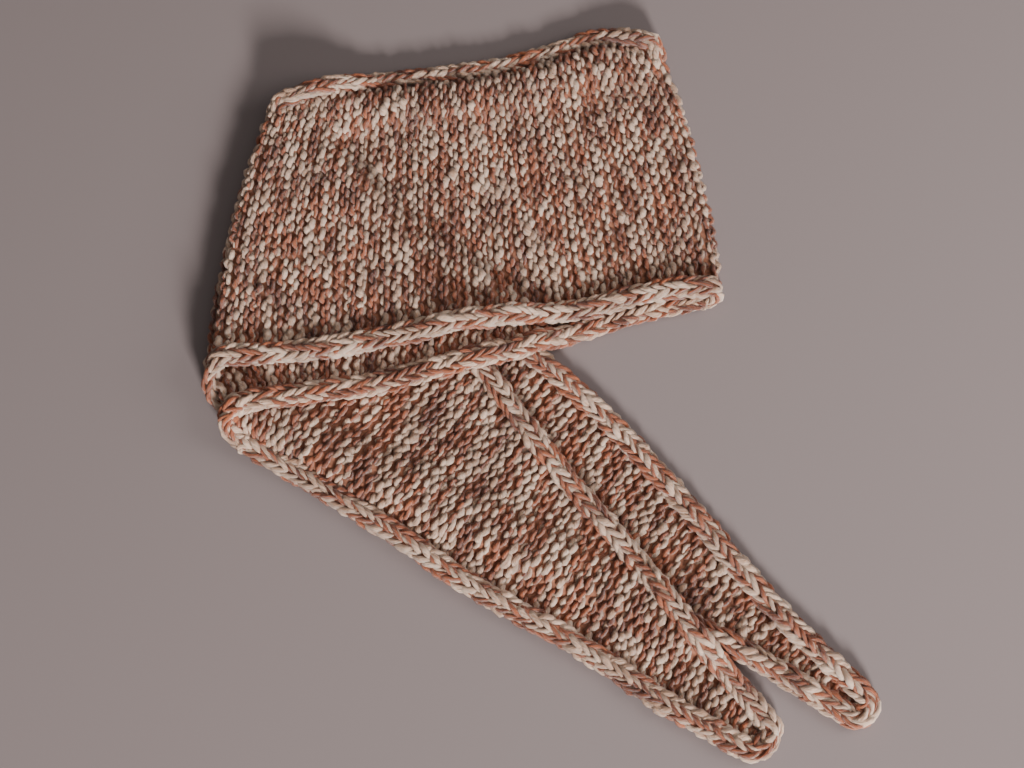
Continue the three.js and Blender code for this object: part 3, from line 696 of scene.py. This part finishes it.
# Edge cords: legs of V stitches laid round a thin inner tube
cord = {
    "width": 15.2, "height": 10.8,   # the yarn stands proud of the solid tube
    "upperShare": 0.86,        # of that width, on the front's upper edge
    "coreScale": 0.62,
    "rows": 7, "firstRow": -56.0,    # of legs all round, and the first one's degrees from the top
    "lowest": -0.93,                 # legs that face the surface more than this are left out
    "inmost": -75.0,                 # and so are those that are turned to the fabric
    "lean": 29.0,              # degrees a leg climbs round the cord, each way from its middle
    "reach": 1.8,              # length of a leg, in rows of stitches
    "placeSpread": 0.35, "lengthSpread": 0.05, "turnSpread": 0.05,   # unevenness of the legs
    "points": 7,
    "depth": 1.9, "dip": 1.7,  # of a leg's middle under the cord's surface, and its ends' beyond that
    "narrow": 0.8,
    "legYarn": 31.0, "rowYarn": 611.0,   # yarn from one leg and from one row to the next
    "endReach": 5.0, "endRound": 6.0,   # a rounded end goes on so far, and narrows over so much
    "bulge": {"right": 6.5, "left": 10.0, "inner": 13.0, "tip": 6.5},   # how far each turn stands out
    # Ridge, and how far the cord lies outside the line of the edge there
    "frontOut": ((0, 5.0), (10, 4.9), (16, 4.2), (24, 3.3), (36, 2.0), (42, 1.0)),
    "backOut": ((0, -2.2), (8, -2.6), (14, -1.6), (22, 0.6), (42, 0.8)),
    "tailOut": ((0, 0.5), (60, 0.5)),
    "upperOut": ((0, 0.0), (42, 0.0)),
    "frontRaise": ((0, 1.5), (12, 1.2), (20, 0.0)),
}


# Middle points and outward directions of a cord, along an edge
def runStations(rows, side, outside, first, last, under, out, raised=((0, 0.0),), step=0.25):
    ridge = np.linspace(first, last, max(int(abs(last - first) / step), 2) + 1)
    columns = slice(0, 2) if side == "lower" else slice(2, 4)
    flat = tableAt(rows, ridge)[:, columns]
    ahead = tableAt(rows, ridge + 0.5)[:, columns] - tableAt(rows, ridge - 0.5)[:, columns]
    outward = np.column_stack([turnLeft(unit(ahead)) * outside, np.zeros(len(ridge))])
    height = under(flat) + scarf["cordHeight"] / 2 + np.interp(ridge, *zip(*raised))
    return np.column_stack([flat, height]) + outward * np.interp(ridge, *zip(*out))[:, None], outward


def turnStations(before, after, bulge, level=0, steps=36):   # level is 1 or -1 on a turn that stays flat
    start, end = before[0][-1], after[0][0]
    leaving = unit(start - before[0][-4])
    arriving = unit(after[0][3] - end)
    pull = bulge / 0.75
    handles = [start, start + leaving * pull, end - arriving * pull, end]
    t = np.linspace(0, 1, steps + 1)[1:, None]
    weights = ((1 - t)**3, 3 * t * (1 - t)**2, 3 * t**2 * (1 - t), t**3)
    middle = sum(w * h for w, h in zip(weights, handles))
    if level:
        flat = unit(np.gradient(middle, axis=0)[:, :2])
        outward = np.column_stack([turnLeft(flat) * level, np.zeros(steps)])
    else:
        outward = unit(mix(before[1][-1], after[1][0], t))
    return middle, outward


def backwards(stations):
    return stations[0][::-1], stations[1][::-1]


def joinStations(*parts):
    return np.concatenate([p[0] for p in parts]), np.concatenate([p[1] for p in parts])


def overBack(points):
    return underFront(points) + scarf["slack"] + scarf["clearance"]


def overTails(points):
    return underBack(points) + scarf["slack"] / 2


def overTailBack(points):
    return underTailFront(points) + scarf["clearance"] / 3


def justAbove(points):
    return np.full(len(points), scarf["clearance"] / 2)


def foldStations(end, fold, turned, steps=14):   # an edge going over a fold and out of sight
    part = turned * np.arange(0, steps + 1) / steps
    middle, up = foldSurface(fold, part, np.ones(steps + 1))
    middle = middle + end[0] - middle[0]
    return middle[1:], np.repeat(end[1][None], steps, 0)


def pathLength(points):
    return np.linalg.norm(np.diff(points, axis=0), axis=1).sum()


# Along one edge, round the tip and back along the other
def tailEdge(rows, last, lowerFirst, upperFirst, under):
    lower = runStations(rows, "lower", -1, lowerFirst, last, under, cord["tailOut"])
    upper = backwards(runStations(rows, "upper", 1, upperFirst, last, under, cord["tailOut"]))
    tip = turnStations(lower, upper, cord["bulge"]["tip"], level=-1)
    return joinStations(lower, tip, upper), pathLength(lower[0]) + pathLength(tip[0]) / 2


def cordPaths():
    lower = runStations(frontRows, "lower", 1, 0.9, 41.8, overBack, cord["frontOut"], cord["frontRaise"])
    backStart = runStations(backRows, "lower", 1, 0.35, 2, justAbove, cord["backOut"])
    right = turnStations(backwards(lower), backStart, cord["bulge"]["right"])
    tailBackStart = runStations(tailBackRows, "lower", -1, 0.1, 2, justAbove, cord["tailOut"])
    left = turnStations(lower, tailBackStart, cord["bulge"]["left"])
    upper = runStations(frontRows, "upper", -1, 0.2, 41.3, underFront, cord["upperOut"])
    rightEnd = foldStations((upper[0][0], upper[1][0]), rightFold, 0.8)
    leftEnd = foldStations((upper[0][-1], upper[1][-1]), leftFold, 0.62)
    back = runStations(backRows, "lower", 1, 0.65, 42, overTails, cord["backOut"])
    tailStart = runStations(tailFrontRows, "lower", -1, 0, 2, underTailFront, cord["tailOut"])
    inner = turnStations(back, tailStart, cord["bulge"]["inner"])
    tailFront, tailFrontTip = tailEdge(tailFrontRows, 54, -0.2, 10, overTailBack)
    tailBack, tailBackTip = tailEdge(tailBackRows, 60, 0.45, 14.5, onSurface)
    never = 1e6
    # Name, nodes, stations, the side of the path that is outside (1 is the left), the way it was knitted,
    # where along the path that turns round, which ends are rounded, and its share of the full width
    return (
        ("frontCordLower", ["front_cord_lower"], joinStations(backwards(right), lower, left), 1, -1, never,
         (0, 0), 1),
        ("frontCordUpper", ["front_cord_upper"], joinStations(backwards(rightEnd), upper, leftEnd),
         -1, -1, never, (1, 1), cord["upperShare"]),
        ("backCordLower", ["back_cord_lower"], joinStations(back, inner), 1, 1, never, (0, 0), 1),
        ("tailFrontCord", ["tail_front_cord_lower", "tail_front_cord_upper"], tailFront, -1, 1, tailFrontTip,
         (0, 0), 1),
        ("tailBackCord", ["tail_back_cord_lower", "tail_back_cord_upper"], tailBack, -1, -1, tailBackTip,
         (0, 0), 1),
    )


class CordPath:   # stations at even steps, read at any distance along the cord
    def __init__(self, stations, outside, rounded, share):
        middle, outward = stations
        middle = middle + np.array([0, 0, (cord["height"] - scarf["cordHeight"]) / 2])
        tangent = unit(np.gradient(middle, axis=0))
        before = middle[0] - tangent[0] * cord["endReach"]
        after = middle[-1] + tangent[-1] * cord["endReach"]
        if rounded[0]:
            middle, outward = np.vstack([before, middle]), np.vstack([outward[0], outward])
        if rounded[1]:
            middle, outward = np.vstack([middle, after]), np.vstack([outward, outward[-1]])
        steps = np.linalg.norm(np.diff(middle, axis=0), axis=1)
        self.reach = np.concatenate([[0], np.cumsum(steps)])
        tangent = unit(np.gradient(middle, axis=0))
        outward = unit(outward - tangent * np.sum(outward * tangent, 1, keepdims=True))
        self.middle, self.outward = middle, outward
        self.high = np.cross(tangent, outward) * outside
        self.rounded = rounded
        self.share = share

    def read(self, values, place):
        return np.stack([np.interp(place, self.reach, values[:, k]) for k in range(3)], -1)

    def girth(self, place):   # 1 along the cord, less at a rounded end
        size = np.ones_like(place)
        if self.rounded[0]:
            size = np.minimum(size, np.sqrt(np.clip(place / cord["endRound"], 0.08, 1)))
        if self.rounded[1]:
            left = self.reach[-1] - place
            size = np.minimum(size, np.sqrt(np.clip(left / cord["endRound"], 0.08, 1)))
        return size

    def at(self, place, angle, depth):   # angle from the top towards the outside, depth under the surface
        wide = cord["width"] / 2 * self.share * self.girth(place) - depth
        tall = cord["height"] / 2 * self.girth(place) - depth
        middle, outward, high = [self.read(v, place) for v in (self.middle, self.outward, self.high)]
        away = outward * (np.sin(angle) * wide)[..., None] + high * (np.cos(angle) * tall)[..., None]
        return middle + away, unit(outward * np.sin(angle)[..., None] + high * np.cos(angle)[..., None])


def cordCore(name, path):
    place = np.linspace(0.5, path.reach[-1] - 0.5, int(path.reach[-1] / 3))
    angle = np.linspace(0, 2 * math.pi, 13)[:-1]
    depth = cord["height"] / 2 * (1 - cord["coreScale"])
    places, angles = [a for a in np.meshgrid(place, angle, indexing="ij")]
    points, out = path.at(places, angles, np.full(places.shape, depth))
    piece = finish(name, points.reshape(-1, 3), gridFaces(len(place), len(angle)))
    piece.data.materials.append(shadedKnit)
    return facingOut(piece)


def cordLegs(path, knitted, turnsAt, seed):
    rng = np.random.default_rng(seed)
    pitch = scarf["ridgePitch"]
    t = np.linspace(0, 1, cord["points"])
    count = int(path.reach[-1] / pitch) + 2
    swell = np.sqrt(1 - cord["narrow"] * (2 * t - 1)**2)
    lines3d, sideways, upwards, places = [], [], [], []
    for q in range(cord["rows"]):
        degrees = cord["firstRow"] + 360 * q / cord["rows"]
        lean = -1 if q % 2 == 0 else 1
        start = (np.arange(count) - 1) * pitch + rng.normal(0, cord["placeSpread"], count)
        length = pitch * cord["reach"] * (1 + rng.normal(0, cord["lengthSpread"], count))
        forward = (knitted * np.where(start < turnsAt, 1, -1) > 0)[:, None]
        along = np.clip(start[:, None] + length[:, None] * np.where(forward, t, 1 - t), 0, path.reach[-1])
        angle = math.radians(degrees) + math.radians(cord["lean"]) * lean * (2 * t - 1)
        angle = angle[None] + rng.normal(0, cord["turnSpread"], (count, 1))
        depth = cord["depth"] + cord["dip"] * np.abs(2 * t - 1)**2.5
        points, out = path.at(along, angle, np.broadcast_to(depth, along.shape))
        tangent = unit(np.gradient(points, axis=1))
        halfway = cord["points"] // 2
        keep = (along.max(1) - along.min(1) > pitch * 0.6) & (out[:, halfway, 2] > cord["lowest"])
        run = np.abs(tangent[:, halfway, 2]) < 0.3
        keep &= ~(run & (degrees > 360 + cord["inmost"] - 30)) & ~(run & (out[:, halfway, 2] < -0.9))
        lines3d.append(points[keep])
        upwards.append(unit(out - tangent * np.sum(out * tangent, -1, keepdims=True))[keep])
        sideways.append(unit(np.cross(tangent, out))[keep])
        fromStart = np.arange(count)[:, None] * cord["legYarn"] + q * cord["rowYarn"]
        places.append((fromStart + t[None] * 5)[keep])
    lines3d, sideways, upwards, places = [np.concatenate(p) for p in (lines3d, sideways, upwards, places)]
    taper = np.broadcast_to(swell, places.shape)
    return layStrands(lines3d, sideways, upwards, places, taper, seed + 50, 0.0)


# The layers that the front hides: one soft block with a rounded rim for each layer
hidden = {
    "first": 0.8, "last": 41.3,      # ridges
    "stations": 60, "rimPoints": 28,
    "groove": 2.0,                   # depth between one layer's rim and the next
    "inset": (18.0, 20.0, 14.0),     # from the upper edge: everywhere, more at the left, more at the right
    "gap": 1.0,                      # under the front's fabric
}


def hiddenBlock():
    cloth = cloths["front"]
    rings = []
    for ridge in np.linspace(hidden["first"], hidden["last"], hidden["stations"]):
        length = cloth.length(np.array([ridge]))[0]
        kept = hidden["inset"][0] + hidden["inset"][1] * smooth((ridge - 30) / 12)
        kept += hidden["inset"][2] * (1 - smooth(ridge / 7))
        start, end = (scarf["tuck"] + 2) / length, 1 - kept / length
        across = np.linspace(start, end, 20)
        drop = -scarf["fabric"] / 2 - hidden["gap"]
        top = cloth.at(np.full(20, ridge), across, np.full(20, drop))
        part = np.linspace(1, 0, hidden["rimPoints"])[1:]
        for place, out in ((end, 1), (start, -1)):
            height = cloth.at(np.array([ridge]), np.array([place]), np.array([drop]))[0, 2]
            z = height * part
            bulge = hidden["groove"] * np.abs(np.sin(math.pi * z / layerStep)) ** 0.6
            moved = place + out * (bulge - hidden["groove"]) / length
            flat = ridgePoint(frontRows, np.full(len(z), ridge), moved)
            side = np.column_stack([flat, z])
            rim = side if out > 0 else side[::-1]
            top = np.vstack([top, rim])
        rings.append(top)
    rings = np.array(rings)
    piece = finish("hiddenLayers", rings.reshape(-1, 3), gridFaces(len(rings), rings.shape[1]))
    piece.data.materials.append(shadedKnit)
    return facingOut(piece)


def ridePieces(pieces):
    for piece in pieces:
        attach(piece, "root")


# Build the cloth, one stretch after the other
nodes = {"front": "front_panel", "back": "back_panel", "tailFront": "tail_front", "tailBack": "tail_back"}
clothPieces = {}
for stretch, node in nodes.items():
    base, flat = clothShell(stretch + "Cloth", stretch)
    strands = garterBeads(stretch)
    shown = ~hiddenFrom(strands[0][0], stretch)
    strands = [tuple(values[shown] for values in s) for s in strands]
    stitches = stitchPieces(stretch + "Yarn", strands, 3 if stretch == "front" else 1)
    ridePieces([base] + stitches)
    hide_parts(node)
    clothPieces[stretch] = (base, stitches, flat)
    print("scarf:", stretch, "stitched with", sum(len(p.data.polygons) for p in stitches), "faces")

hiddenPiece = hiddenBlock()
ridePieces([hiddenPiece])
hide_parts("hidden_layers")

cordPieces = {}
for k, (name, replaced, stations, outside, knitted, turnsAt, rounded, share) in enumerate(cordPaths()):
    path = CordPath(stations, outside, rounded, share)
    core = cordCore(name + "Core", path)
    legs = stitchPieces(name + "Yarn", cordLegs(path, knitted, turnsAt, 300 + 10 * k), 1)
    ridePieces([core] + legs)
    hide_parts(*replaced)
    cordPieces[name] = [core] + legs
    faces = sum(len(p.data.polygons) for p in legs)
    print("scarf:", name, "is", round(path.reach[-1]), "mm long and knitted with", faces, "faces")

# The cut of each stretch that shows
cords = {
    "front": ("frontCordLower", "frontCordUpper"), "back": ("backCordLower",),
    "tailFront": ("tailFrontCord",), "tailBack": ("tailBackCord",),
}
below = {"front": "hiddenLayers", "back": "tailFrontCloth", "tailFront": "tailBackCloth", "tailBack": None}
for stretch, (base, stitches, flat) in clothPieces.items():
    going = stitches + [piece for name in cords[stretch] for piece in cordPieces[name]]
    rests = [below[stretch]] if below[stretch] else ["floor"]
    clothPieces[stretch] = (base, going, flat, rests)

# Floor, light and camera
studio = {
    "floor": "#827573",
    "keyPower": 285.0, "keySize": 0.7, "keyPlace": (1.1, -3.15, 1.48),
    "sidePower": 10.0, "sideSize": 0.8, "sidePlace": (1.05, 0.0, 0.75),
    "fillPower": 12.0, "fillSize": 2.5, "fillPlace": (0.3, -0.3, 2.2),
    "world": 0.11,
    "lens": 50.0, "sensor": 36.0, "distance": 0.930, "tilt": 16.0,
}


def pointAt(thing, target):
    direction = np.array(target) - np.array(thing.location)
    x, y, z = direction
    flat = math.hypot(x, y)
    thing.rotation_euler = (math.atan2(flat, -z), 0, math.atan2(-x, y))


def softLight(name, place, size, power):
    light = bpy.data.lights.new(name, "AREA")
    light.energy = power
    light.size = size
    lamp = bpy.data.objects.new(name, light)
    lamp.location = place
    pointAt(lamp, (0, 0, 0))
    bpy.context.scene.collection.objects.link(lamp)


floorMesh = bpy.data.meshes.new("floor")
floorMesh.from_pydata([(-4, -4, 0), (4, -4, 0), (4, 4, 0), (-4, 4, 0)], [], [(0, 1, 2, 3)])
floor = bpy.data.objects.new("floor", floorMesh)
bpy.context.scene.collection.objects.link(floor)
floorFinish, floorTree = newMaterial("matStudioFloor")   # smooth matt card
floorShader = addNode(floorTree, "ShaderNodeBsdfPrincipled", None,
                      {"Base Color": linear(studio["floor"]), "Roughness": 0.95, "Specular IOR Level": 0.1})
addNode(floorTree, "ShaderNodeOutputMaterial", None, None, {"Surface": floorShader.outputs["BSDF"]})
floorMesh.materials.append(floorFinish)
floor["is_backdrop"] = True

softLight("keyLight", studio["keyPlace"], studio["keySize"], studio["keyPower"])
softLight("sideLight", studio["sidePlace"], studio["sideSize"], studio["sidePower"])
softLight("fillLight", studio["fillPlace"], studio["fillSize"], studio["fillPower"])
world = bpy.data.worlds.new("studio")
world.use_nodes = True
world.node_tree.nodes["Background"].inputs["Color"].default_value = (1, 0.98, 0.96, 1)
world.node_tree.nodes["Background"].inputs["Strength"].default_value = studio["world"]
bpy.context.scene.world = world

camera = bpy.data.objects.new("camera", bpy.data.cameras.new("camera"))
camera.data.lens = studio["lens"]
camera.data.sensor_width = studio["sensor"]
tilt = math.radians(studio["tilt"])
aim = (scarf["zero"][0] * mm, scarf["zero"][1] * mm)
back, high = studio["distance"] * math.sin(tilt), studio["distance"] * math.cos(tilt)
camera.location = (aim[0], aim[1] - back, high)
camera.rotation_euler = (tilt, 0, 0)
bpy.context.scene.collection.objects.link(camera)
bpy.context.scene.camera = camera

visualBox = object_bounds()
plain = lambda box: [[float(v) for v in corner] for corner in box]
{"cad": plain(cadBox), "visual": plain(visualBox)}
print("scarf: done")
